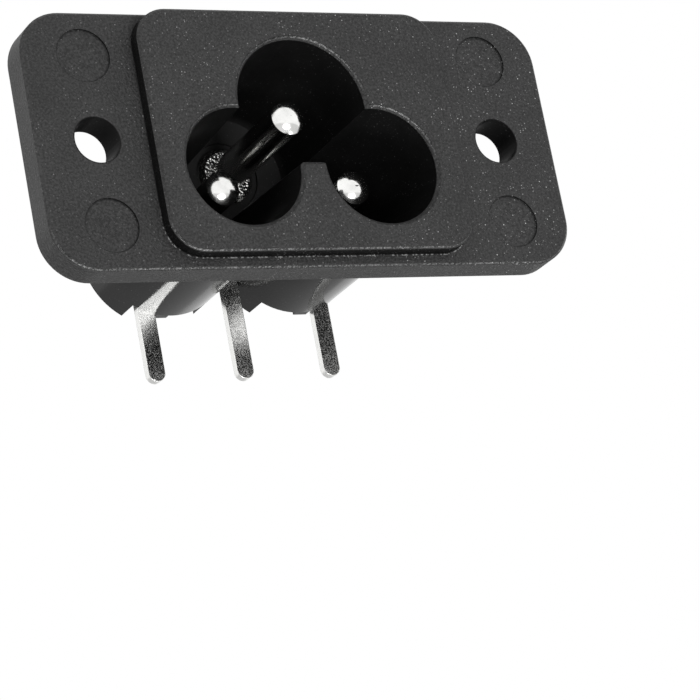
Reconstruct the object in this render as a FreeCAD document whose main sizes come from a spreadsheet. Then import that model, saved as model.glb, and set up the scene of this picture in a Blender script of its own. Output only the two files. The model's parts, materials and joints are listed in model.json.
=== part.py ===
"""Appliance inlet for panel mounting: a three-lobed socket with round pins and straight board legs.

Millimetres. +X is to the right seen from the front, +Y is the way a plug goes in, and +Z is up.
The legs point down. The origin is on the flange's front face, midway between the two screw holes.
"""
import FreeCAD
import Part
import Sketcher
import os

SIZES = {
    # flange with its rear pan, screw ears and bare mark discs
    "flange_width": 38.8,
    "flange_height": 18.1,
    "flange_depth": 2.5,
    "flange_corner": 3.2,
    "flange_edge": 0.18,
    "web_thickness": 1.0,
    "rim_wall": 1.2,
    "screw_spacing": 30.0,
    "screw_hole": 3.2,
    "screw_boss": 7.0,
    "mark_diameter": 3.8,
    "mark_depth": 0.12,
    "mark_rise": 5.95,
    "ejector_diameter": 2.1,
    "ejector_depth": 0.1,
    "ejector_spread": 15.4,
    "ejector_rise": 6.0,
    "ejector_drop": 5.15,
    # raised face round the socket, flush with the flange's upper edge
    "face_width": 22.7,
    "face_rise": 1.0,
    "face_step": 0.85,
    "face_corner": 2.4,
    "face_edge": 0.18,
    # pin layout about the screw line
    "line_pitch": 9.9,
    "line_drop": 2.15,
    "earth_rise": 2.25,
    # lobes behind the flange
    "line_lobe": 10.1,
    "earth_lobe": 11.0,
    "valley_width": 1.8,
    "valley_drop": 4.1,
    "lobe_foot": 0.25,
    "rib_thickness": 0.9,
    "tab_thickness": 1.0,
    # cloverleaf socket
    "socket_depth": 13.0,
    "socket_draft": 1.5,
    "socket_edge": 0.24,
    "line_socket": 8.36,
    "line_socket_shift": 0.2,
    "earth_socket": 9.5,
    "tongue_drop": 1.9,
    "tongue_edge": 0.35,
    # terminal pockets in the rear
    "floor_thickness": 2.1,
    "pocket_depth": 2.05,
    "seat_diameter": 5.1,
    "seat_depth": 0.2,
    "line_pocket_width": 5.5,
    "line_pocket_reach": 2.9,
    "line_pocket_chamfer": 1.45,
    "earth_pocket_width": 5.3,
    "earth_pocket_shoulder": 1.15,
    "guide_width": 1.0,
    "guide_length": 1.05,
    "guide_height": 0.85,
    "guide_gap": 0.2,
    "guide_inset": 0.15,
    # terminals
    "plate_thickness": 0.6,
    "plate_clearance": 0.3,
    "line_plate_reach": 2.15,
    "line_plate_tail": 3.3,
    "line_plate_chamfer": 1.2,
    "earth_plate_reach": 2.2,
    "leg_width": 1.25,
    "leg_drop": 11.95,
    "leg_clearance": 0.12,
    # pins
    "pin_diameter": 2.4,
    "tip_rise": 0.5,
    "earth_pin_recess": 2.0,
    "line_pin_recess": 3.7,
    "collar_diameter": 4.1,
    "collar_height": 0.7,
    "collar_bevel": 0.35,
    "shank_diameter": 2.0,
    "shank_clearance": 0.03,
    "crown_diameter": 3.7,
    "crown_height": 0.6,
    "crown_bevel": 0.3,
    "notch_width": 0.5,
    "notch_depth": 0.35,
    "crown_notches": 8,
}
SHEET = "sizes"
FULL_TURN = 360
BEVEL_ANGLE = 45
OVERCUT = 1.1
NEAR = 1e-6


class Size:
    """A length that knows its value and the sheet expression that gives it."""

    def __init__(self, value, text):
        self.value = value
        self.text = text

    def __add__(self, other):
        other = as_size(other)
        return Size(self.value + other.value, f"({self.text} + {other.text})")

    def __sub__(self, other):
        other = as_size(other)
        return Size(self.value - other.value, f"({self.text} - {other.text})")

    def __mul__(self, other):
        other = as_size(other)
        return Size(self.value * other.value, f"({self.text} * {other.text})")

    def __truediv__(self, other):
        other = as_size(other)
        return Size(self.value / other.value, f"({self.text} / {other.text})")

    def __neg__(self):
        return self * -1


def as_size(number):
    return number if isinstance(number, Size) else Size(number, str(number))


def size(alias):
    return Size(SIZES[alias], f"{SHEET}.{alias}")


ZERO = as_size(0)


def fill_sheet(doc):
    sheet = doc.addObject("Spreadsheet::Sheet", SHEET)
    for row, (alias, value) in enumerate(SIZES.items(), 1):
        sheet.set(f"A{row}", alias)
        sheet.set(f"B{row}", str(value))
        sheet.setAlias(f"B{row}", alias)
    doc.recompute()


# sketches

def origin_feature(body, role):
    return next(feature for feature in body.Origin.OriginFeatures if feature.Role == role)


def sketch_on(body, name, role, depth=None):
    """A sketch on one of the body's own planes; depth shifts one on the XZ plane along +Y."""
    sketch = body.newObject("Sketcher::SketchObject", name)
    sketch.AttachmentSupport = [(origin_feature(body, role), "")]
    sketch.MapMode = "FlatFace"
    if depth is not None:
        sketch.setExpression("AttachmentOffset.Base.z", (-depth).text)
    return sketch


def bind(sketch, constraint, length):
    index = sketch.addConstraint(constraint)
    sketch.setExpression(f"Constraints[{index}]", length.text)


def pin_point(sketch, element, point, x, z):
    """Holds one point of the sketch at x, z; zero puts it on the axis."""
    for kind, axis, place in (("DistanceX", -2, x), ("DistanceY", -1, z)):
        if place is ZERO:
            sketch.addConstraint(Sketcher.Constraint("PointOnObject", element, point, axis))
        else:
            bind(sketch, Sketcher.Constraint(kind, -1, 1, element, point, place.value), place)


def circle(x, z, diameter):
    def draw(sketch):
        centre = FreeCAD.Vector(x.value, z.value, 0)
        round_line = Part.Circle(centre, FreeCAD.Vector(0, 0, 1), diameter.value / 2)
        element = sketch.addGeometry(round_line, False)
        pin_point(sketch, element, 3, x, z)
        bind(sketch, Sketcher.Constraint("Diameter", element, diameter.value), diameter)
    return draw


def outline(corners):
    """A closed outline of corners (x, z).

    A corner (x, z, centre_x, centre_z, radius) starts an arc of under half a turn to the next corner.
    """
    def draw(sketch):
        points = [FreeCAD.Vector(corner[0].value, corner[1].value, 0) for corner in corners]
        following = points[1:] + points[:1]
        elements = []
        for corner, start, end in zip(corners, points, following):
            if len(corner) == 2:
                stretch = Part.LineSegment(start, end)
            else:
                centre = FreeCAD.Vector(corner[2].value, corner[3].value, 0)
                outward = (start + end) * 0.5 - centre
                stretch = Part.Arc(start, centre + outward.normalize() * corner[4].value, end)
            elements.append(sketch.addGeometry(stretch, False))

        def end_at(element, point):
            first = sketch.getPoint(element, 1).distanceToPoint(point)
            last = sketch.getPoint(element, 2).distanceToPoint(point)
            return 1 if first < last else 2

        joints = []
        for number, point in enumerate(points):
            before = elements[number - 1]
            after = elements[number]
            joints.append((before, end_at(before, point), after, end_at(after, point)))
        for corner, (before, before_end, after, after_end) in zip(corners, joints):
            sketch.addConstraint(Sketcher.Constraint("Coincident", before, before_end, after, after_end))
            pin_point(sketch, after, after_end, corner[0], corner[1])
            if len(corner) > 2:
                bind(sketch, Sketcher.Constraint("Radius", after, corner[4].value), corner[4])
    return draw


def rectangle(left, right, bottom, top):
    return outline([(left, bottom), (right, bottom), (right, top), (left, top)])


def rounded_rectangle(left, right, bottom, top, radius):
    inner_left = left + radius
    inner_right = right - radius
    inner_bottom = bottom + radius
    inner_top = top - radius
    return outline([
        (inner_left, bottom),
        (inner_right, bottom, inner_right, inner_bottom, radius),
        (right, inner_bottom),
        (right, inner_top, inner_right, inner_top, radius),
        (inner_right, top),
        (inner_left, top, inner_left, inner_top, radius),
        (left, inner_top),
        (left, inner_bottom, inner_left, inner_bottom, radius),
    ])


def arch(z, radius, foot):
    """A half circle about the middle line on straight sides that stand on a flat foot."""
    return outline([
        (-radius, foot),
        (radius, foot),
        (radius, z, ZERO, z, radius),
        (ZERO, z + radius, ZERO, z, radius),
        (-radius, z),
    ])


# features

def volume(body):
    return 0 if body.Shape.isNull() else body.Shape.Volume


def extrude(body, kind, name, start, length, draw, taper=None):
    """A Pad or Pocket whose profile stands at depth start and runs towards +Y."""
    before = volume(body)
    sketch = sketch_on(body, name + "_profile", "XZ_Plane", start)
    draw(sketch)
    feature = body.newObject("PartDesign::" + kind, name)
    feature.Profile = sketch
    feature.Reversed = kind == "Pad"
    feature.setExpression("Length", length.text)
    if taper is not None:
        feature.setExpression("TaperAngle", taper.text)
    body.Document.recompute()
    change = volume(body) - before
    if change == 0 or (change > 0) != (kind == "Pad"):
        raise RuntimeError(f"{name} changes the volume by {change}")
    return feature


def finish_edges(body, kind, name, amount, wanted):
    """Rounds (Fillet) or bevels (Chamfer) every edge of the body for which wanted says yes."""
    base = body.Tip
    before = volume(body)
    edges = [f"Edge{number}" for number, edge in enumerate(base.Shape.Edges, 1) if wanted(edge)]
    feature = body.newObject("PartDesign::" + kind, name)
    feature.Base = (base, edges)
    feature.setExpression("Radius" if kind == "Fillet" else "Size", amount.text)
    body.Document.recompute()
    if not 0 < volume(body) < before:
        raise RuntimeError(f"{name} takes nothing off {len(edges)} edges")


def at_depth(depth):
    """Whether an edge lies in the plane across +Y at this depth."""
    def wanted(edge):
        return all(abs(vertex.Y - depth.value) < NEAR for vertex in edge.Vertexes) and (
            abs(edge.CenterOfMass.y - depth.value) < NEAR
        )
    return wanted


def new_body(doc, label, x=ZERO, z=ZERO):
    body = doc.addObject("PartDesign::Body", label)
    body.Label = label
    body.setExpression("Placement.Base.x", x.text)
    body.setExpression("Placement.Base.z", z.text)
    return body


# places that several pieces share

FACE_FRONT = -size("face_rise")
SOCKET_FLOOR = FACE_FRONT + size("socket_depth")
SEAT = SOCKET_FLOOR + size("floor_thickness")
PLATE_REAR = SEAT + size("plate_thickness")
BODY_REAR = SEAT + size("pocket_depth")
EARTH_Z = size("earth_rise")
LINE_Z = -size("line_drop")
LINE_X = size("line_pitch") / 2
SCREW_X = size("screw_spacing") / 2
CHANNEL_HALF = size("leg_width") / 2 + size("leg_clearance")
SHANK_HOLE = size("shank_diameter") + size("shank_clearance") * 2
SIDES = {"line": -1, "neutral": 1}
PIN_PLACES = (("earth", ZERO, EARTH_Z), ("line", -LINE_X, LINE_Z), ("neutral", LINE_X, LINE_Z))
LOBES = {"earth": size("earth_lobe"), "line": size("line_lobe"), "neutral": size("line_lobe")}
COLLAR_SEAT = SOCKET_FLOOR + size("seat_depth")


def make_flange(body):
    half_width = size("flange_width") / 2
    half_height = size("flange_height") / 2
    corner = size("flange_corner")
    plate = rounded_rectangle(-half_width, half_width, -half_height, half_height, corner)
    extrude(body, "Pad", "flange", ZERO, size("flange_depth"), plate)
    for name, depth in (("front", ZERO), ("rear", size("flange_depth"))):
        finish_edges(body, "Chamfer", f"flange_{name}_bevel", size("flange_edge"), at_depth(depth))
    wall = size("rim_wall")
    pan = rounded_rectangle(
        wall - half_width, half_width - wall, wall - half_height, half_height - wall, corner - wall
    )
    pan_depth = size("flange_depth") - size("web_thickness")
    extrude(body, "Pocket", "pan", size("web_thickness"), pan_depth, pan)
    half_face = size("face_width") / 2
    face = rounded_rectangle(
        -half_face, half_face, size("face_step") - half_height, half_height, size("face_corner")
    )
    extrude(body, "Pad", "face", FACE_FRONT, size("face_rise") + size("web_thickness"), face)
    finish_edges(body, "Chamfer", "face_bevel", size("face_edge"), at_depth(FACE_FRONT))


def make_lobes(body):
    """A lobe round each pin on a bevelled foot, and the web that fills the valley between the lower two."""
    foot = size("lobe_foot")
    for name, x, z in PIN_PLACES:
        width = LOBES[name]
        extrude(body, "Pad", f"{name}_lobe_pad", ZERO, BODY_REAR, circle(x, z, width))
        ring = circle(x, z, width + foot * 2)
        extrude(body, "Pad", f"{name}_foot", size("web_thickness"), foot, ring, as_size(-BEVEL_ANGLE))
    half_valley = size("valley_width") / 2
    valley = rectangle(-half_valley, half_valley, -size("valley_drop"), EARTH_Z)
    extrude(body, "Pad", "valley_web", ZERO, BODY_REAR, valley)


def make_ribs(body):
    """Screw bosses, the ribs from them to the lobes, and the tabs from the rim to the lobes."""
    height = size("flange_depth")
    rib = size("rib_thickness") / 2
    tab = size("tab_thickness") / 2
    rim = size("flange_height") / 2 - size("rim_wall") / 2
    extrude(body, "Pad", "earth_tab", ZERO, height, rectangle(-tab, tab, EARTH_Z, rim))
    for name, side in SIDES.items():
        middle = LINE_X * side
        boss = circle(SCREW_X * side, ZERO, size("screw_boss"))
        extrude(body, "Pad", f"{name}_screw_boss", ZERO, height, boss)
        ends = sorted((SCREW_X * side, middle), key=lambda end: end.value)
        extrude(body, "Pad", f"{name}_rib", ZERO, height, rectangle(ends[0], ends[1], -rib, rib))
        bar = rectangle(middle - tab, middle + tab, -rim, LINE_Z)
        extrude(body, "Pad", f"{name}_tab", ZERO, height, bar)


def cut_socket(body):
    """The cloverleaf: three drafted lobes that run into each other, with a tongue between the lower two.

    The bevel of the mouth runs a little past the drafted wall that it meets.
    """
    edge = size("socket_edge")
    bevel_depth = edge * OVERCUT
    depth = size("socket_depth")
    draft = -size("socket_draft")
    bevel = as_size(-BEVEL_ANGLE)
    tongue = -size("tongue_drop")
    line_x = LINE_X + size("line_socket_shift")
    earth = size("earth_socket") / 2
    line = size("line_socket")
    hollow = arch(EARTH_Z, earth, tongue)
    extrude(body, "Pocket", "earth_socket_cut", FACE_FRONT, depth, hollow, draft)
    for name, side in SIDES.items():
        hollow = circle(line_x * side, LINE_Z, line)
        extrude(body, "Pocket", f"{name}_socket_cut", FACE_FRONT, depth, hollow, draft)

    def on_tongue(found):
        ends = [vertex.Point for vertex in found.Vertexes]
        long = abs(ends[0].y - ends[-1].y) > depth.value / 2
        return long and any(abs(end.z - tongue.value) < NEAR for end in ends)

    finish_edges(body, "Fillet", "tongue_rounding", size("tongue_edge"), on_tongue)
    mouth = arch(EARTH_Z, earth + edge, tongue - edge)
    extrude(body, "Pocket", "earth_mouth", FACE_FRONT, bevel_depth, mouth, bevel)
    for name, side in SIDES.items():
        mouth = circle(line_x * side, LINE_Z, line + edge * 2)
        extrude(body, "Pocket", f"{name}_mouth", FACE_FRONT, bevel_depth, mouth, bevel)


def cut_terminal_pockets(body):
    half = size("line_pocket_width") / 2
    chamfer = size("line_pocket_chamfer")
    top = LINE_Z + size("line_pocket_reach")
    open_end = LINE_Z - size("line_lobe") / 2
    for name, side in SIDES.items():
        middle = LINE_X * side
        left = middle - half
        right = middle + half
        pocket = outline([
            (left, open_end),
            (right, open_end),
            (right, top - chamfer),
            (right - chamfer, top),
            (left + chamfer, top),
            (left, top - chamfer),
        ])
        extrude(body, "Pocket", f"{name}_pocket", SEAT, size("pocket_depth"), pocket)
    wide = size("earth_pocket_width") / 2
    shoulder = EARTH_Z - size("earth_pocket_shoulder")
    neck = shoulder - (wide - CHANNEL_HALF)
    far_end = EARTH_Z + size("earth_lobe") / 2
    channel = outline([
        (-CHANNEL_HALF, open_end),
        (CHANNEL_HALF, open_end),
        (CHANNEL_HALF, neck),
        (wide, shoulder),
        (wide, far_end),
        (-wide, far_end),
        (-wide, shoulder),
        (-CHANNEL_HALF, neck),
    ])
    extrude(body, "Pocket", "earth_pocket", SEAT, size("pocket_depth"), channel)


def add_leg_guides(body):
    """A small block beside each outer leg, on the pocket's floor near its open end."""
    near = size("line_pocket_width") / 2 - size("plate_clearance") - size("leg_width") - size("guide_gap")
    far = near - size("guide_width")
    low = LINE_Z - size("line_lobe") / 2 + size("guide_inset")
    for name, side in SIDES.items():
        ends = sorted(((LINE_X + near) * side, (LINE_X + far) * side), key=lambda end: end.value)
        block = rectangle(ends[0], ends[1], low, low + size("guide_length"))
        extrude(body, "Pad", f"{name}_guide", SEAT, size("guide_height"), block)


def cut_holes(body):
    """Collar seats and shank holes in the socket floor, and the screw holes through the ears."""
    for name, x, z in PIN_PLACES:
        seat = circle(x, z, size("seat_diameter"))
        extrude(body, "Pocket", f"{name}_seat", SOCKET_FLOOR, size("seat_depth"), seat)
        shank = circle(x, z, SHANK_HOLE)
        extrude(body, "Pocket", f"{name}_shank_hole", SOCKET_FLOOR, size("floor_thickness"), shank)
    for name, side in SIDES.items():
        screw = circle(SCREW_X * side, ZERO, size("screw_hole"))
        extrude(body, "Pocket", f"{name}_screw_hole", ZERO, size("flange_depth"), screw)


def cut_marks(body):
    """Bare mark discs on the front, and the shallow prints that ejector rods leave in the pan."""
    rod = size("ejector_diameter")
    depth = size("ejector_depth")
    for name, side in SIDES.items():
        for level, rise in (("upper", size("mark_rise")), ("lower", -size("mark_rise"))):
            disc = circle(SCREW_X * side, rise, size("mark_diameter"))
            extrude(body, "Pocket", f"{name}_{level}_mark", ZERO, size("mark_depth"), disc)
        for level, rise in (("upper", size("ejector_rise")), ("lower", -size("ejector_drop"))):
            disc = circle(size("ejector_spread") * side, rise, rod)
            start = size("web_thickness") - depth
            extrude(body, "Pocket", f"{name}_{level}_ejector", start, depth, disc)


def make_housing(doc):
    body = new_body(doc, "housing")
    make_flange(body)
    make_lobes(body)
    make_ribs(body)
    cut_socket(body)
    cut_terminal_pockets(body)
    add_leg_guides(body)
    cut_holes(body)
    cut_marks(body)
    return body


def make_pin(doc, label, x, z, recess):
    """A turned pin: domed tip, collar in its seat, shank through floor and plate, notched crown."""
    body = new_body(doc, label, x, z)
    tip = FACE_FRONT + recess
    radius = size("pin_diameter") / 2
    rise = size("tip_rise")
    dome = (radius * radius + rise * rise) / (rise * 2)
    collar = size("collar_diameter") / 2
    collar_front = COLLAR_SEAT - size("collar_height")
    edge = size("collar_bevel")
    shank = size("shank_diameter") / 2
    crown = size("crown_diameter") / 2
    crown_rear = PLATE_REAR + size("crown_height")
    bevel = size("crown_bevel")
    profile = sketch_on(body, label + "_profile", "XY_Plane")
    outline([
        (ZERO, tip, ZERO, tip + dome, dome),
        (radius, tip + rise),
        (radius, collar_front),
        (collar - edge, collar_front),
        (collar, collar_front + edge),
        (collar, COLLAR_SEAT),
        (shank, COLLAR_SEAT),
        (shank, PLATE_REAR),
        (crown, PLATE_REAR),
        (crown, crown_rear - bevel),
        (crown - bevel, crown_rear),
        (ZERO, crown_rear),
    ])(profile)
    turned = body.newObject("PartDesign::Revolution", label + "_turned")
    turned.Profile = profile
    turned.ReferenceAxis = (profile, ["V_Axis"])
    turned.Angle = FULL_TURN
    doc.recompute()
    notch_half = size("notch_width") / 2
    notch = outline([(ZERO, crown - size("notch_depth")), (notch_half, crown), (-notch_half, crown)])
    first = extrude(body, "Pocket", label + "_notch", PLATE_REAR, size("crown_height"), notch)
    ring = body.newObject("PartDesign::PolarPattern", label + "_notches")
    ring.Originals = [first]
    ring.Axis = (origin_feature(body, "Y_Axis"), [""])
    ring.Angle = FULL_TURN
    ring.setExpression("Occurrences", size("crown_notches").text)
    body.Tip = ring
    doc.recompute()
    return body


def leg_end(middle, tip, way):
    """The half-round end of a solder leg; way is 1 from its left side to its right side, or -1 back."""
    half = size("leg_width") / 2
    centre = tip + half
    return [
        (middle - half * way, centre, middle, centre, half),
        (middle, tip, middle, centre, half),
        (middle + half * way, centre),
    ]


def finish_terminal(body, label, shape):
    extrude(body, "Pad", label + "_blank", SEAT, size("plate_thickness"), outline(shape))
    hole = circle(ZERO, ZERO, SHANK_HOLE)
    extrude(body, "Pocket", label + "_hole", SEAT, size("plate_thickness"), hole)
    return body


def make_line_terminal(doc, label, side):
    """A flat plate about its pin, with the leg flush with the plate's outer side."""
    body = new_body(doc, label, LINE_X * side, LINE_Z)
    half = size("line_pocket_width") / 2 - size("plate_clearance")
    reach = size("line_plate_reach")
    chamfer = size("line_plate_chamfer")
    tail = -size("line_plate_tail")
    tip = -size("leg_drop") - LINE_Z
    plate = [
        (half * side, reach - chamfer),
        ((half - chamfer) * side, reach),
        ((half - chamfer) * -side, reach),
        (half * -side, reach - chamfer),
        (half * -side, tail),
        ((half - size("leg_width")) * side, tail),
    ]
    middle = (half - size("leg_width") / 2) * side
    return finish_terminal(body, label, plate + leg_end(middle, tip, side))


def make_earth_terminal(doc, label):
    """A flat plate about its pin that narrows to the leg in its middle."""
    body = new_body(doc, label, ZERO, EARTH_Z)
    wide = size("earth_pocket_width") / 2 - size("plate_clearance")
    leg = size("leg_width") / 2
    reach = size("earth_plate_reach")
    shoulder = -size("earth_pocket_shoulder") + size("plate_clearance")
    neck = shoulder - (wide - leg)
    tip = -size("leg_drop") - EARTH_Z
    shape = [
        (leg, neck),
        (wide, shoulder),
        (wide, reach),
        (-wide, reach),
        (-wide, shoulder),
        (-leg, neck),
    ] + leg_end(ZERO, tip, 1)
    return finish_terminal(body, label, shape)


def check(doc, bodies):
    for item in doc.Objects:
        if "Invalid" in item.State or "Error" in item.State:
            raise RuntimeError(f"{item.Name} is in state {item.State}")
    for body in bodies:
        if body.Shape.isNull() or not body.Shape.isValid() or len(body.Shape.Solids) != 1:
            raise RuntimeError(f"{body.Label} is not one valid solid")


def main():
    doc = FreeCAD.newDocument("inlet")
    fill_sheet(doc)
    bodies = [make_housing(doc)]
    for name, x, z in PIN_PLACES:
        recess = size("earth_pin_recess" if name == "earth" else "line_pin_recess")
        bodies.append(make_pin(doc, f"{name}_pin", x, z, recess))
    bodies.append(make_earth_terminal(doc, "earth_terminal"))
    for name, side in SIDES.items():
        bodies.append(make_line_terminal(doc, f"{name}_terminal", side))
    doc.recompute()
    check(doc, bodies)
    os.makedirs("parts", exist_ok=True)
    for body in bodies:
        body.Shape.exportStep(f"parts/{body.Label}.step")
        print(body.Label, round(body.Shape.Volume, 2), body.Shape.BoundBox)


main()
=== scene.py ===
"""Dresses the panel inlet: grained black moulding, plated pins and terminals on a white ground."""
import bpy
import json
import math
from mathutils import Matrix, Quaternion, Vector, noise

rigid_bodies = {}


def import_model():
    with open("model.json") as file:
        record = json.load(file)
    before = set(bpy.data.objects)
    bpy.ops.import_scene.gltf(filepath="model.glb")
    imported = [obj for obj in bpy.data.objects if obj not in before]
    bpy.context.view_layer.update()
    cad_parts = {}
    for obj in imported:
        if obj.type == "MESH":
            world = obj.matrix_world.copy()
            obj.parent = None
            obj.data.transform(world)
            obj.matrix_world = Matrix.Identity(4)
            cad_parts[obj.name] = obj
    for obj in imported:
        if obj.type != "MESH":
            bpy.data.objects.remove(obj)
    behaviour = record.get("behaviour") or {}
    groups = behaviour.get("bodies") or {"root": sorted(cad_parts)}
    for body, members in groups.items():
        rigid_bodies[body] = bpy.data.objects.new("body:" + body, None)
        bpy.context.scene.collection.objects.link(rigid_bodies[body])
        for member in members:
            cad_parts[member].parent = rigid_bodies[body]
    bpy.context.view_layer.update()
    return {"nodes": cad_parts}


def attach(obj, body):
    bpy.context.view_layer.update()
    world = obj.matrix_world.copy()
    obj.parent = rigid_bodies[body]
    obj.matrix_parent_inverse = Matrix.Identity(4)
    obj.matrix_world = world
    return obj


for leftover in list(bpy.data.objects):
    bpy.data.objects.remove(leftover)

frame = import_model()

MM = 0.001
BODY = "root"
PINS = {"earth_pin": (0.0, 2.25), "line_pin": (-4.95, -2.15), "neutral_pin": (4.95, -2.15)}
TERMINALS = ("earth_terminal", "line_terminal", "neutral_terminal")

# the moulding's zones, in millimetres; circles are (x, z, radius)
HALF_WIDTH = 19.4
FACE_FRONT = -1.0
FACE_HALF_WIDTH = 11.35
FACE_HALF_HEIGHT = 8.625
FACE_MIDDLE = 0.425
FACE_CORNER = 2.4
FIELD_FLOOR = 0.12
FIELD_FOOT_SHARE = 0.4
FIELDS = ((-15.0, -5.95, 1.9), (-15.0, 5.95, 1.9), (15.0, -5.95, 1.9), (15.0, 5.95, 1.9))
BORES = ((-15.0, 0.0, 1.5), (15.0, 0.0, 1.5))
SOCKETS = ((0.0, 2.25, 4.75), (-5.15, -2.15, 4.18), (5.15, -2.15, 4.18))
MOUTH_BEVEL = 0.26
SOCKET_FLOOR = 12.0
SEAT_REACH = 0.6
COLLAR_REACH = 0.75
PAN_FLOOR = 1.0
PAN_HALF_WIDTH = 18.2
PAN_HALF_HEIGHT = 7.85
FLANGE_REAR = 2.5
POCKET_FLOOR = 14.1
LOBE_REAR = 16.15
LAND_DEPTH = 0.08
LAND_HALF = 0.03
ZONE_FADE = 0.1

# thin bands on the moulding and the pins, as (middle, half width, soft edge) in millimetres
# the band of painted shade at the step of the raised face
STEP_SHADE_OUT = (0.0, 0.03, 0.08)
STEP_SHADE_DEEP = (-0.38, 0.41, 0.03)
# where highlights are painted, just outside the foot of the raised face
LIP_OUT = (0.1, 0.03, 0.03)
LIP_DEEP = (0.0, 0.03, 0.03)
# the ring of painted shade on the walls of the sunk fields
FIELD_RIM_OUT = (-0.05, 0.05, 0.05)
FIELD_WALL_DEEP = (FIELD_FLOOR / 2, 0.045, 0.01)
FIELD_FOOT_DEEP = (FIELD_FLOOR, 0.01, 0.005)
FACE_LAND_DEEP = (FACE_FRONT + LAND_DEPTH, LAND_HALF, LAND_HALF)
FLANGE_LAND_DEEP = (LAND_DEPTH, LAND_HALF, LAND_HALF)
FLANGE_RIM_DEEP = (FLANGE_REAR, 0.05, 0.03)
COLLAR_DEEP = (SOCKET_FLOOR, COLLAR_REACH, 0.05)

# spans in millimetres over which a zone begins or ends
FACE_UPPER_EDGE = (8.3, 8.6)
FACE_LOWER_HALF = (-6.5, -4.5)
SOCKET_FLOOR_NEAR = (SOCKET_FLOOR - 1.0, SOCKET_FLOOR)
SOCKET_FLOOR_PAST = (SOCKET_FLOOR + 0.5, SOCKET_FLOOR + 1.0)
SIGN_TOP = (LOBE_REAR - 0.03, LOBE_REAR - 0.01)

# the lean of a front bevel as a band, and the spans of a normal that looks down or back
BEVEL_LEAN = (math.sqrt(0.5), 0.05, 0.05)
LOOKS_DOWN = (-0.35, -0.05)
LOOKS_BACK = (0.5, 0.6)

# spans of a noise pattern over which a finish changes
MID_SPAN = (0.35, 0.65)
WIDE_SPAN = (0.3, 0.7)
GRAIN_SPAN = (0.4, 0.62)
GLINT_SPAN = (0.42, 0.62)
SPARKLE_SPAN = (0.42, 0.63)

# the moulding's finish; sizes and depths in millimetres
GRAIN_SIZE = 0.17
GRAIN_DEPTH = 0.07
GRAIN_SHARE = 0.8
CLOUD_SIZE = 4.0
GLINT_SIZE = 0.14
GRAINED_GREYS = (0.003, 0.029)
POLISHED_GREYS = (0.006, 0.009)
# painted light: the paler grey of the socket's floor
SOCKET_FLOOR_LIT_GREY = 0.03
# painted shade: the grey of the step round the raised face and of the sunk fields' walls
PAINTED_SHADE_GREY = 0.002
MATTE_ROUGHNESS = (0.48, 0.6)
POLISHED_ROUGHNESS = (0.08, 0.13)
LAND_ROUGHNESS = 0.26
SOCKET_ROUGHNESS = 0.3
POLISHED_RELIEF = 0.06
LAND_RELIEF = 0.5
SIGN_RELIEF = 1.5
FRONT_GLOSS = 0.4
REAR_GLOSS = 0.22
SOCKET_GLOSS = 0.012
# painted shade: less gloss where the shade is painted
PAINTED_SHADE_GLOSS = 0.4
SIGN_GLOSS = 0.3
GLINT_GLOSS = 1.4

# dust on the moulding, and painted highlights as pale spots at the foot of the raised face; cells in
# millimetres
DUST_AND_GLINT_GREY = 0.75
DUST_CELL = 0.22
FINE_DUST_CELL = 0.13
FINE_DUST_SHARE = 0.45
DUST_SPOT = (0.08, 0.22)
DUST_CHOICE = (0.5, 1.1)
DUST_CLOUD_SPAN = (0.38, 0.6)
DUST_CLOUD_SHARES = (0.3, 1.0)
DUST_ACROSS_SHARES = (0.3, 1.15)
POLISHED_DUST = 0.2
LIP_GLINT_SIZE = 0.25
LIP_GLINT_SPAN = (0.5, 0.6)
LIP_GLINT_SHARE = 0.25

# plating; sizes and depths in millimetres
PLATE_WARMTH = 0.98
NICKEL_GREYS = (0.98, 0.84)
NICKEL_ROUGHNESS = (0.1, 0.2)
SMEAR_SIZE = 0.8
TURNING_SIZE = 0.3
TURNING_DEPTH = 0.006
DENT_SIZE = 0.22
DENT_RELIEF = 14.0
TIN_GREYS = (0.72, 0.93)
TIN_ROUGHNESS = (0.14, 0.3)
SPARKLE_SIZE = 0.09
SPARKLE_DEPTH = 0.005
STAMPED_EDGE = 0.06

# staked crowns, in millimetres; the seeds give each crown its own unevenness
CROWN_FOOT = 14.7
CROWN_RADIUS = 1.98
CROWN_HEIGHT = 0.66
CROWN_PETALS = 9
CROWN_RINGS = 16
CROWN_SPOKES = 90
CROWN_SWAY = 2.5
CROWN_SCALLOP = 0.03
CROWN_RAGGED = 0.07
CROWN_RAGGED_PITCH = 2.2
CROWN_SWELL = 0.16
CROWN_LUMP = 0.2
CROWN_LUMP_PITCH = 1.5
CROWN_LUMP_SEED = 9
CROWN_FOLD = 0.1
CROWN_FOLD_PITCH = 3.2
CROWN_FOLD_SEED = 4
CROWN_PETAL_RISE = 0.12
CROWN_SHOULDER = 0.86
CROWN_FALL = 0.95
CROWN_SEED_STEP = 17.3

# raised signs behind the terminals, as strokes (x, z) to (x, z) in millimetres
SIGN_STROKE = 0.17
SIGN_SOFT = 0.04
SIGN_HEIGHT = 0.07
REAR_SIGN_HEIGHT = 0.005
LINE_SIGN = (((-8.2, -2.7), (-8.2, -4.05)), ((-8.2, -4.05), (-8.95, -4.05)))
NEUTRAL_SIGN = (((9.3, -4.1), (9.3, -2.7)), ((9.3, -2.7), (8.35, -4.1)), ((8.35, -4.1), (8.35, -2.7)))
EARTH_SIGN = (
    ((1.2, 7.25), (1.2, 6.3)),
    ((0.6, 6.3), (1.8, 6.3)),
    ((0.82, 5.85), (1.58, 5.85)),
    ((1.04, 5.4), (1.36, 5.4)),
)

# camera, low at the front left; lens and sensor in millimetres
CAMERA_AT = Vector((-103.73, -184.02, -77.65)) * MM
CAMERA_AIM = Vector((0.49, 0.0, -14.91)) * MM
CAMERA_ROLL = math.radians(10.9)
CAMERA_LENS = 172.73
CAMERA_SENSOR = 36.0
CAMERA_NEAR = 0.01

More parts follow.
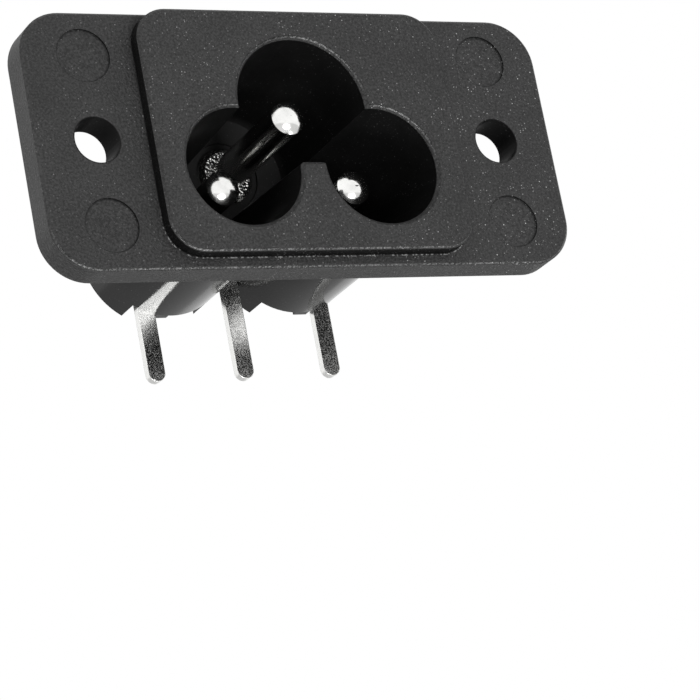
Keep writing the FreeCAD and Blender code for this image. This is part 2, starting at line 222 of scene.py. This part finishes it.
# studio, in metres and watts, floor patches in millimetres; lamps are (name, place, width, height, power)
FLOOR_DROP = 0.5
FLOOR_SIZE = 4.0
FLOOR_PATCH = 200.0
FLOOR_GREYS = (0.82, 0.86)
FLOOR_ROUGHNESS = 0.9
SOFT_LIGHT = 0.75
WHITE = (1.0, 1.0, 1.0, 1.0)
LAMP_AIM = Vector((0, 0, 0))
LAMPS = (
    ("key", (0.01, -0.335, -0.194), 0.17, 0.09, 0.86),
    ("under", (0.0, -0.165, -0.32), 0.45, 0.12, 0.3),
    ("side", (-0.35, 0.0, 0.1), 0.2, 0.2, 0.3),
)


# node helpers

def blank_material(name):
    material = bpy.data.materials.new(name)
    material.use_nodes = True
    tree = material.node_tree
    shader = next(node for node in tree.nodes if node.type == "BSDF_PRINCIPLED")
    return material, tree, shader


def add_node(tree, kind, **values):
    """A node with its own settings, and its sockets set by name (spaces written as underscores)."""
    node = tree.nodes.new(kind)
    for name, value in values.items():
        socket = name.replace("_", " ")
        if socket in node.inputs:
            node.inputs[socket].default_value = value
        else:
            setattr(node, name, value)
    return node


def plug(tree, value, socket):
    """Sets a socket to a plain value, or links another node's output to it."""
    if isinstance(value, bpy.types.NodeSocket):
        tree.links.new(value, socket)
    else:
        socket.default_value = value


def place(tree):
    """The point on the surface, in millimetres in the part's own frame."""
    point = add_node(tree, "ShaderNodeTexCoord").outputs["Object"]
    node = add_node(tree, "ShaderNodeVectorMath", operation="SCALE", Scale=1 / MM)
    tree.links.new(point, node.inputs[0])
    return node.outputs["Vector"]


def axes(tree, vector):
    node = add_node(tree, "ShaderNodeSeparateXYZ")
    tree.links.new(vector, node.inputs[0])
    return node.outputs


def facing(tree):
    """The way the face itself looks, along x, y and z."""
    return axes(tree, add_node(tree, "ShaderNodeNewGeometry").outputs["True Normal"])


def patches(tree, point, size, detail=2.0, roughness=0.5):
    """Soft noise whose patches are about this size in millimetres."""
    node = add_node(tree, "ShaderNodeTexNoise", Scale=1 / size, Detail=detail, Roughness=roughness)
    tree.links.new(point, node.inputs["Vector"])
    return node.outputs["Fac"]


def spread(tree, value, low, high, to_low, to_high):
    """The value mapped from one range to another, held at its ends."""
    node = add_node(tree, "ShaderNodeMapRange", clamp=True)
    names = ("Value", "From Min", "From Max", "To Min", "To Max")
    for name, number in zip(names, (value, low, high, to_low, to_high)):
        plug(tree, number, node.inputs[name])
    return node.outputs["Result"]


def rising(tree, value, low, high):
    """0 below the low value, 1 above the high one."""
    return spread(tree, value, low, high, 0.0, 1.0)


def falling(tree, value, low, high):
    """1 below the low value, 0 above the high one."""
    return spread(tree, value, low, high, 1.0, 0.0)


def fade(tree, share, end):
    """1 where the share is 0, and the end value where it is 1."""
    return spread(tree, share, 0.0, 1.0, 1.0, end)


def maths(tree, operation, first, second=0.0):
    node = add_node(tree, "ShaderNodeMath", operation=operation)
    plug(tree, first, node.inputs[0])
    plug(tree, second, node.inputs[1])
    return node.outputs["Value"]


def product(tree, first, *others):
    for other in others:
        first = maths(tree, "MULTIPLY", first, other)
    return first


def band(tree, value, middle, half, soft):
    """1 where the value lies within half of the middle, fading over the soft width."""
    away = maths(tree, "ABSOLUTE", maths(tree, "SUBTRACT", value, middle))
    return falling(tree, away, half, half + soft)


def blend(tree, share, first, second):
    node = add_node(tree, "ShaderNodeMix", data_type="FLOAT")
    for value, number in ((share, 0), (first, 2), (second, 3)):
        plug(tree, value, node.inputs[number])
    return node.outputs[0]


def mix_colour(tree, share, first, second):
    node = add_node(tree, "ShaderNodeMix", data_type="RGBA")
    tree.links.new(share, node.inputs["Factor"])
    plug(tree, first, node.inputs[6])
    plug(tree, second, node.inputs[7])
    return node.outputs[2]


def grey(level, warmth=1.0):
    return (level, level, level * warmth, 1.0)


def mottle(tree, pattern, span, greys, warmth=1.0):
    """A tone that runs between two greys over a span of the pattern."""
    first, second = greys
    return mix_colour(tree, rising(tree, pattern, *span), grey(first, warmth), grey(second, warmth))


def bump(tree, height, depth, edge=None):
    """A normal from a height; depth is the full height in millimetres, edge the softening of sharp edges."""
    node = add_node(tree, "ShaderNodeBump", Distance=depth * MM)
    tree.links.new(height, node.inputs["Height"])
    if edge is not None:
        soft = add_node(tree, "ShaderNodeBevel", samples=8, Radius=edge * MM)
        tree.links.new(soft.outputs["Normal"], node.inputs["Normal"])
    return node.outputs["Normal"]


# zones of the moulding

def beyond_circles(tree, x, z, circles):
    """How far a point lies outside the nearest of these circles, in millimetres."""
    across = add_node(tree, "ShaderNodeCombineXYZ")
    tree.links.new(x, across.inputs["X"])
    tree.links.new(z, across.inputs["Z"])
    nearest = None
    for centre_x, centre_z, radius in circles:
        away = add_node(tree, "ShaderNodeVectorMath", operation="DISTANCE")
        tree.links.new(across.outputs["Vector"], away.inputs[0])
        away.inputs[1].default_value = (centre_x, 0.0, centre_z)
        outside = maths(tree, "SUBTRACT", away.outputs["Value"], radius)
        nearest = outside if nearest is None else maths(tree, "MINIMUM", nearest, outside)
    return nearest


def beyond_face(tree, x, z):
    """How far a point lies outside the raised face's rounded outline, in millimetres."""
    squares = []
    for offset, reach in ((x, FACE_HALF_WIDTH), (maths(tree, "SUBTRACT", z, FACE_MIDDLE), FACE_HALF_HEIGHT)):
        past = maths(tree, "SUBTRACT", maths(tree, "ABSOLUTE", offset), reach - FACE_CORNER)
        past = maths(tree, "MAXIMUM", past, 0.0)
        squares.append(product(tree, past, past))
    away = maths(tree, "SQRT", maths(tree, "ADD", squares[0], squares[1]))
    return maths(tree, "SUBTRACT", away, FACE_CORNER)


def in_socket(tree, x, y, z):
    """1 inside the socket and the screw holes."""
    mouth = FACE_FRONT + MOUTH_BEVEL
    seat = SOCKET_FLOOR + SEAT_REACH
    return product(
        tree,
        falling(tree, beyond_circles(tree, x, z, SOCKETS + BORES), ZONE_FADE, 2 * ZONE_FADE),
        rising(tree, y, mouth, mouth + ZONE_FADE),
        falling(tree, y, seat, seat + 2 * ZONE_FADE),
    )


def behind_flange(tree, x, y, z):
    """1 on the polished moulding behind the flange, without the rear faces of its rim and the lobes."""
    behind = product(
        tree,
        rising(tree, y, PAN_FLOOR - ZONE_FADE, PAN_FLOOR - ZONE_FADE / 2),
        falling(tree, y, LOBE_REAR - ZONE_FADE, LOBE_REAR - ZONE_FADE / 5),
    )
    for axis, half in ((x, PAN_HALF_WIDTH), (z, PAN_HALF_HEIGHT)):
        within = falling(tree, maths(tree, "ABSOLUTE", axis), half, half + ZONE_FADE)
        behind = product(tree, behind, within)
    rim = product(tree, band(tree, y, *FLANGE_RIM_DEEP), rising(tree, facing(tree)[1], *LOOKS_BACK))
    return maths(tree, "SUBTRACT", behind, product(tree, behind, rim))


def front_bevels(tree, y):
    """1 on the thin bright land along the front's bevelled edges that look down."""
    normal = facing(tree)
    bevel = band(tree, maths(tree, "ABSOLUTE", normal[1]), *BEVEL_LEAN)
    land = maths(tree, "MAXIMUM", band(tree, y, *FACE_LAND_DEEP), band(tree, y, *FLANGE_LAND_DEEP))
    return product(tree, bevel, land, falling(tree, normal[2], *LOOKS_DOWN))


def face_step_shade(tree, away, y, z):
    """1 where shade is painted dark on the step wall and at the foot of the raised face, which ends at its
    upper edge.
    """
    painted_shade = product(tree, band(tree, away, *STEP_SHADE_OUT), band(tree, y, *STEP_SHADE_DEEP))
    return product(tree, painted_shade, falling(tree, z, *FACE_UPPER_EDGE))


def lip_glint_zone(tree, away, y, z):
    """1 on a thin line just outside the foot of the raised face, on its lower half, where highlights are
    painted.
    """
    lip_glint = product(tree, band(tree, away, *LIP_OUT), band(tree, y, *LIP_DEEP))
    return product(tree, lip_glint, falling(tree, z, *FACE_LOWER_HALF))


def field_rim_shade(tree, x, y, z):
    """1 where shade is painted on the walls of the sunk fields on the ears, less at the foot of the walls.
    """
    rims = band(tree, beyond_circles(tree, x, z, FIELDS), *FIELD_RIM_OUT)
    wall = band(tree, y, *FIELD_WALL_DEEP)
    foot = product(tree, band(tree, y, *FIELD_FOOT_DEEP), FIELD_FOOT_SHARE)
    return product(tree, rims, maths(tree, "MAXIMUM", wall, foot))


def stroke(tree, x, z, start, end):
    """1 on a straight stroke from start to end, 0 beside it."""
    start = Vector(start)
    along = Vector(end) - start
    length = along.length
    along.normalize()
    x = maths(tree, "SUBTRACT", x, start.x)
    z = maths(tree, "SUBTRACT", z, start.y)
    run = maths(tree, "ADD", product(tree, x, along.x), product(tree, z, along.y))
    off = maths(tree, "SUBTRACT", product(tree, z, along.x), product(tree, x, along.y))
    half = SIGN_STROKE / 2 - SIGN_SOFT
    inside = band(tree, run, length / 2, length / 2 + half, 2 * SIGN_SOFT)
    return product(tree, inside, band(tree, off, 0.0, half, 2 * SIGN_SOFT))


def rear_signs(tree, x, y, z):
    """1 on the signs of the two outer lobes' rear faces."""
    signs = None
    for start, end in LINE_SIGN + NEUTRAL_SIGN:
        mark = stroke(tree, x, z, start, end)
        signs = mark if signs is None else maths(tree, "MAXIMUM", signs, mark)
    return product(tree, signs, rising(tree, y, *SIGN_TOP))


# materials

def dust(tree, point, cell):
    """Sparse pale specks, one at most in each cell."""
    cells = add_node(tree, "ShaderNodeTexVoronoi", Scale=1 / cell)
    tree.links.new(point, cells.inputs["Vector"])
    chosen = add_node(tree, "ShaderNodeSeparateColor")
    tree.links.new(cells.outputs["Color"], chosen.inputs["Color"])
    spots = falling(tree, cells.outputs["Distance"], *DUST_SPOT)
    return product(tree, spots, rising(tree, chosen.outputs["Red"], *DUST_CHOICE))


def dust_and_glints(tree, point, x, cloud, smooth, lip_glint):
    """Dust in clouds, more of it towards the right ear and little on polished faces, and painted highlights
    as pale spots at the foot of the raised face.
    """
    fine = product(tree, dust(tree, point, FINE_DUST_CELL), FINE_DUST_SHARE)
    specks = maths(tree, "MAXIMUM", dust(tree, point, DUST_CELL), fine)
    clouds = spread(tree, cloud, *DUST_CLOUD_SPAN, *DUST_CLOUD_SHARES)
    across = spread(tree, x, -HALF_WIDTH, HALF_WIDTH, *DUST_ACROSS_SHARES)
    specks = product(tree, specks, product(tree, clouds, across), fade(tree, smooth, POLISHED_DUST))
    # painted highlight: pale spots on the thin line at the foot of the raised face
    glint_dots = patches(tree, point, LIP_GLINT_SIZE, detail=1.0)
    glint_dots = product(tree, spread(tree, glint_dots, *LIP_GLINT_SPAN, 0.0, LIP_GLINT_SHARE), lip_glint)
    return maths(tree, "MAXIMUM", specks, glint_dots)


def moulding_shade(tree, y, grain, cloud, socket, smooth):
    """Near black: grained outside, plain where polished, and painted paler on the socket's floor, as light
    that reaches it.
    """
    tone = maths(tree, "ADD", product(tree, grain, GRAIN_SHARE), product(tree, cloud, 1 - GRAIN_SHARE))
    grained = mottle(tree, tone, GRAIN_SPAN, GRAINED_GREYS)
    polished = mottle(tree, cloud, MID_SPAN, POLISHED_GREYS)
    # painted light: the socket's floor is made paler, as if lit
    lit_floor = product(tree, rising(tree, y, *SOCKET_FLOOR_NEAR), falling(tree, y, *SOCKET_FLOOR_PAST), socket)
    polished = mix_colour(tree, lit_floor, polished, grey(SOCKET_FLOOR_LIT_GREY))
    return mix_colour(tree, smooth, grained, polished)


def moulding_material():
    """Black moulded plastic: spark-eroded grain outside, polished in the socket and behind the flange."""
    material, tree, shader = blank_material("moulding")
    point = place(tree)
    x, y, z = axes(tree, point)
    socket = in_socket(tree, x, y, z)
    behind = behind_flange(tree, x, y, z)
    smooth = maths(tree, "MAXIMUM", socket, behind)
    away = beyond_face(tree, x, z)
    painted_shade = maths(tree, "MAXIMUM", face_step_shade(tree, away, y, z), field_rim_shade(tree, x, y, z))
    lip_glint = lip_glint_zone(tree, away, y, z)
    bevels = front_bevels(tree, y)
    signs = rear_signs(tree, x, y, z)
    grain = patches(tree, point, GRAIN_SIZE, detail=3.0, roughness=0.65)
    cloud = patches(tree, point, CLOUD_SIZE, detail=3.0)

    shade = moulding_shade(tree, y, grain, cloud, socket, smooth)
    # painted shade: the step round the raised face and the sunk fields' walls are darkened
    shade = mix_colour(tree, painted_shade, shade, grey(PAINTED_SHADE_GREY))
    # dust, and painted highlights at the foot of the raised face, as pale specks
    shade = mix_colour(tree, dust_and_glints(tree, point, x, cloud, smooth, lip_glint), shade, grey(DUST_AND_GLINT_GREY))
    tree.links.new(shade, shader.inputs["Base Color"])

    rough = blend(tree, bevels, spread(tree, cloud, *WIDE_SPAN, *MATTE_ROUGHNESS), LAND_ROUGHNESS)
    rough = blend(tree, behind, rough, spread(tree, cloud, *WIDE_SPAN, *POLISHED_ROUGHNESS))
    rough = blend(tree, socket, rough, SOCKET_ROUGHNESS)
    tree.links.new(rough, shader.inputs["Roughness"])

    relief = product(tree, grain, fade(tree, smooth, POLISHED_RELIEF), fade(tree, bevels, LAND_RELIEF))
    relief = maths(tree, "ADD", relief, product(tree, signs, SIGN_RELIEF))
    tree.links.new(bump(tree, relief, GRAIN_DEPTH), shader.inputs["Normal"])

    gloss = blend(tree, behind, FRONT_GLOSS, REAR_GLOSS)
    gloss = blend(tree, socket, gloss, SOCKET_GLOSS)
    # painted shade: the gloss is lowered where the shade is painted
    gloss = product(tree, gloss, fade(tree, painted_shade, PAINTED_SHADE_GLOSS), fade(tree, signs, SIGN_GLOSS))
    glints = spread(tree, patches(tree, point, GLINT_SIZE, detail=1.0), *GLINT_SPAN, 0.0, GLINT_GLOSS)
    gloss = maths(tree, "ADD", gloss, product(tree, glints, bevels))
    tree.links.new(gloss, shader.inputs["Specular IOR Level"])
    return material


def pin_material():
    """Bright nickel on turned brass, with faint turning marks and dented collars."""
    material, tree, shader = blank_material("pin_plate")
    point = place(tree)
    smear = patches(tree, point, SMEAR_SIZE, detail=4.0)
    shader.inputs["Metallic"].default_value = 1.0
    shade = mottle(tree, smear, MID_SPAN, NICKEL_GREYS, PLATE_WARMTH)
    tree.links.new(shade, shader.inputs["Base Color"])
    tree.links.new(spread(tree, smear, *WIDE_SPAN, *NICKEL_ROUGHNESS), shader.inputs["Roughness"])
    collar = band(tree, axes(tree, point)[1], *COLLAR_DEEP)
    dents = product(tree, patches(tree, point, DENT_SIZE, detail=1.0), collar, DENT_RELIEF)
    relief = maths(tree, "ADD", patches(tree, point, TURNING_SIZE, detail=3.0), dents)
    tree.links.new(bump(tree, relief, TURNING_DEPTH), shader.inputs["Normal"])
    return material


def terminal_material():
    """Tin on stamped brass, with a fine sparkle."""
    material, tree, shader = blank_material("terminal_plate")
    point = place(tree)
    sparkle = patches(tree, point, SPARKLE_SIZE, detail=2.0, roughness=0.6)
    shader.inputs["Metallic"].default_value = 1.0
    shade = mottle(tree, sparkle, MID_SPAN, TIN_GREYS, PLATE_WARMTH)
    tree.links.new(shade, shader.inputs["Base Color"])
    tree.links.new(spread(tree, sparkle, *SPARKLE_SPAN, *TIN_ROUGHNESS), shader.inputs["Roughness"])
    tree.links.new(bump(tree, sparkle, SPARKLE_DEPTH, edge=STAMPED_EDGE), shader.inputs["Normal"])
    return material


# pieces

def dress(node, material):
    piece = frame["nodes"][node]
    piece.data.materials.clear()
    piece.data.materials.append(material)


def add_piece(name, points, faces, material):
    mesh = bpy.data.meshes.new(name)
    mesh.from_pydata([Vector(point) * MM for point in points], [], faces)
    mesh.materials.append(material)
    piece = bpy.data.objects.new(name, mesh)
    bpy.context.scene.collection.objects.link(piece)
    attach(piece, BODY)
    return piece


def uneven(radius, turn, pitch, seed):
    """Smooth noise at a place on the crown, given by radius and angle."""
    return noise.noise(Vector((radius * math.cos(turn) * pitch, radius * math.sin(turn) * pitch, seed)))


def crown_point(centre, share, turn, seed):
    """A point on the hammered crown: share runs from its middle to its rim, turn is the angle."""
    x, z = centre
    ragged = uneven(1.0, turn, CROWN_RAGGED_PITCH, seed)
    petal = math.cos(CROWN_PETALS * turn + ragged * CROWN_SWAY)
    radius = CROWN_RADIUS * share * (1 + share * (CROWN_SCALLOP * petal + CROWN_RAGGED * ragged))
    lumps = CROWN_LUMP * uneven(radius, turn, CROWN_LUMP_PITCH, seed + CROWN_LUMP_SEED)
    folds = CROWN_FOLD * uneven(radius, turn, CROWN_FOLD_PITCH, seed + CROWN_FOLD_SEED)
    height = CROWN_HEIGHT + CROWN_SWELL + lumps + folds + CROWN_PETAL_RISE * petal * share * share
    past_shoulder = max(0.0, share - CROWN_SHOULDER) / (1 - CROWN_SHOULDER)
    height = max(height, CROWN_HEIGHT) * (1 - past_shoulder * CROWN_FALL)
    return (x + radius * math.cos(turn), CROWN_FOOT + height, z + radius * math.sin(turn))


def make_crown(name, centre, seed, material):
    """The tail of a pin, hammered down into an uneven flower on its plate."""
    points = [crown_point(centre, 0.0, 0.0, seed)]
    faces = []
    for ring in range(1, CROWN_RINGS + 1):
        for spoke in range(CROWN_SPOKES):
            turn = math.tau * spoke / CROWN_SPOKES
            points.append(crown_point(centre, ring / CROWN_RINGS, turn, seed))
    for spoke in range(CROWN_SPOKES):
        after = (spoke + 1) % CROWN_SPOKES
        faces.append((0, 1 + after, 1 + spoke))
        for ring in range(CROWN_RINGS - 1):
            inner = 1 + ring * CROWN_SPOKES
            outer = inner + CROWN_SPOKES
            faces.append((inner + spoke, inner + after, outer + after, outer + spoke))
    crown = add_piece(name, points, faces, material)
    crown.data.shade_smooth()


def make_sign(name, strokes, floor, height, material):
    """A raised sign of straight strokes on a rear face."""
    points = []
    faces = []
    for start, end in strokes:
        start = Vector(start)
        end = Vector(end)
        along = (end - start).normalized() * SIGN_STROKE / 2
        side = Vector((-along.y, along.x))
        first = len(points)
        for corner in (start - along - side, end + along - side, end + along + side, start - along + side):
            points.append((corner.x, floor, corner.y))
            points.append((corner.x, floor + height, corner.y))
        ring = [(first + 2 * number, first + 2 * ((number + 1) % 4)) for number in range(4)]
        faces += [(low, after, after + 1, low + 1) for low, after in ring]
        faces.append(tuple(low + 1 for low, after in ring))
    add_piece(name, points, faces, material)


# studio

def make_world():
    world = bpy.data.worlds.new("studio")
    bpy.context.scene.world = world
    world.use_nodes = True
    tree = world.node_tree
    tree.nodes.clear()
    path = add_node(tree, "ShaderNodeLightPath")
    seen = maths(tree, "ADD", path.outputs["Is Camera Ray"], path.outputs["Is Glossy Ray"])
    seen = maths(tree, "ADD", seen, path.outputs["Is Transmission Ray"])
    soft = add_node(tree, "ShaderNodeBackground", Color=WHITE, Strength=SOFT_LIGHT)
    white = add_node(tree, "ShaderNodeBackground", Color=WHITE, Strength=1.0)
    mix = add_node(tree, "ShaderNodeMixShader")
    tree.links.new(seen, mix.inputs["Fac"])
    tree.links.new(soft.outputs["Background"], mix.inputs[1])
    tree.links.new(white.outputs["Background"], mix.inputs[2])
    output = add_node(tree, "ShaderNodeOutputWorld")
    tree.links.new(mix.outputs["Shader"], output.inputs["Surface"])


def make_floor():
    bpy.ops.mesh.primitive_plane_add(size=FLOOR_SIZE, location=(0, 0, -FLOOR_DROP))
    floor = bpy.context.object
    floor.name = "floor"
    material, tree, shader = blank_material("floor_white")
    first, second = FLOOR_GREYS
    shade = mix_colour(tree, patches(tree, place(tree), FLOOR_PATCH), grey(first), grey(second))
    tree.links.new(shade, shader.inputs["Base Color"])
    shader.inputs["Roughness"].default_value = FLOOR_ROUGHNESS
    floor.data.materials.append(material)


def add_holder(name, data, at, turn):
    """Sets a lamp or the camera at a place, turned by a quaternion."""
    holder = bpy.data.objects.new(name, data)
    holder.location = at
    holder.rotation_mode = "QUATERNION"
    holder.rotation_quaternion = turn
    bpy.context.scene.collection.objects.link(holder)
    return holder


def make_lamp(name, at, width, height, watts):
    lamp = bpy.data.lights.new(name, "AREA")
    lamp.shape = "RECTANGLE"
    lamp.size = width
    lamp.size_y = height
    lamp.energy = watts
    at = Vector(at)
    add_holder(name, lamp, at, (LAMP_AIM - at).to_track_quat("-Z", "Y"))


def make_camera():
    camera = bpy.data.cameras.new("camera")
    camera.lens = CAMERA_LENS
    camera.sensor_width = CAMERA_SENSOR
    camera.clip_start = CAMERA_NEAR
    aim = (CAMERA_AIM - CAMERA_AT).to_track_quat("-Z", "Y")
    turn = aim @ Quaternion((0, 0, 1), -CAMERA_ROLL)
    bpy.context.scene.camera = add_holder("camera", camera, CAMERA_AT, turn)


def main():
    bpy.context.scene.view_settings.view_transform = "Standard"
    moulding = moulding_material()
    dress("housing", moulding)
    pin = pin_material()
    for number, (node, centre) in enumerate(PINS.items()):
        dress(node, pin)
        make_crown(node.replace("pin", "crown"), centre, number * CROWN_SEED_STEP, pin)
    terminal = terminal_material()
    for node in TERMINALS:
        dress(node, terminal)
    make_sign("earth_sign", EARTH_SIGN, POCKET_FLOOR, SIGN_HEIGHT, moulding)
    make_sign("line_sign", LINE_SIGN, LOBE_REAR, REAR_SIGN_HEIGHT, moulding)
    make_sign("neutral_sign", NEUTRAL_SIGN, LOBE_REAR, REAR_SIGN_HEIGHT, moulding)
    make_world()
    make_floor()
    for lamp in LAMPS:
        make_lamp(*lamp)
    make_camera()


main()
